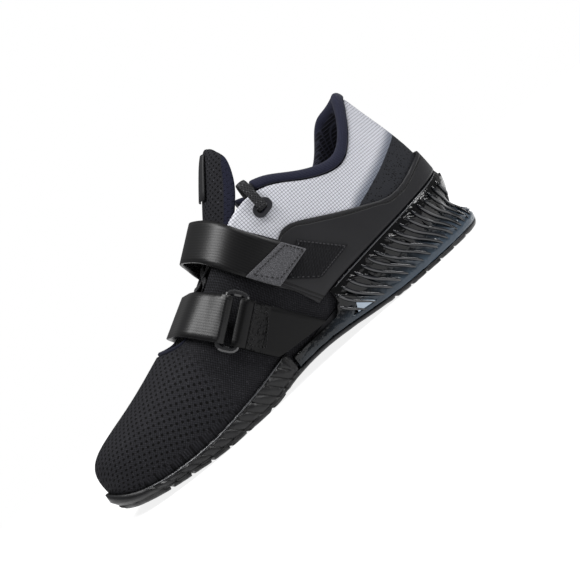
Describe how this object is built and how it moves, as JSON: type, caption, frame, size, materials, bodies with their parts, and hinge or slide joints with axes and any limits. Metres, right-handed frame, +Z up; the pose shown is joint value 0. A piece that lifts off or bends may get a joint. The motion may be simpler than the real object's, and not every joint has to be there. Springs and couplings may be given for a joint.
{
  "type": "weightlifting shoe",
  "caption": "Low weightlifting shoe with a raised heel wedge, two hook-and-loop straps, padded collar and tall tongue, standing empty on its sole.",
  "frame": {"origin": "centre of the shoe's own box at the floor", "axes": "+X towards the toe, +Y towards the inner side of the foot, +Z up"},
  "size_m": [0.3034, 0.1068, 0.1492],
  "materials": {
    "outsole_rubber": "satin black rubber",
    "wedge_plastic": "smoky blue-grey translucent plastic",
    "core_foam": "matte dark foam",
    "insole_cloth": "matte knitted cover",
    "upper_mesh": "near-black mesh, light grey ripstop at the ankle",
    "film": "satin fused film",
    "loop_weave": "fine ribbed loop fabric",
    "collar_mesh": "navy mesh over padding",
    "label": "bare soft label",
    "strap_weave": "glossy ribbed webbing",
    "tab_fuzz": "brushed grey fabric",
    "ring_plastic": "polished black",
    "lace_cord": "flat woven lace",
    "eyelet_metal": "gunmetal"
  },
  "bodies": {
    "root": {"outsole": "outsole_rubber", "heel_wedge": "wedge_plastic", "midsole": "core_foam", "insole": "insole_cloth", "upper": "upper_mesh", "tongue": "upper_mesh", "quarter_overlay": "film", "loop_patch": "loop_weave", "collar_lining": "collar_mesh", "throat_piping": "collar_mesh", "tongue_label": "label", "instep_strap": "strap_weave", "instep_strap_tab": "tab_fuzz", "forefoot_strap": "strap_weave", "strap_ring": "ring_plastic", "anchor_band": "strap_weave", "lace_bars": "lace_cord", "lace_end": "lace_cord", "eyelet_medial": "eyelet_metal", "eyelet_lateral": "eyelet_metal"}
  },
  "joints": []
}
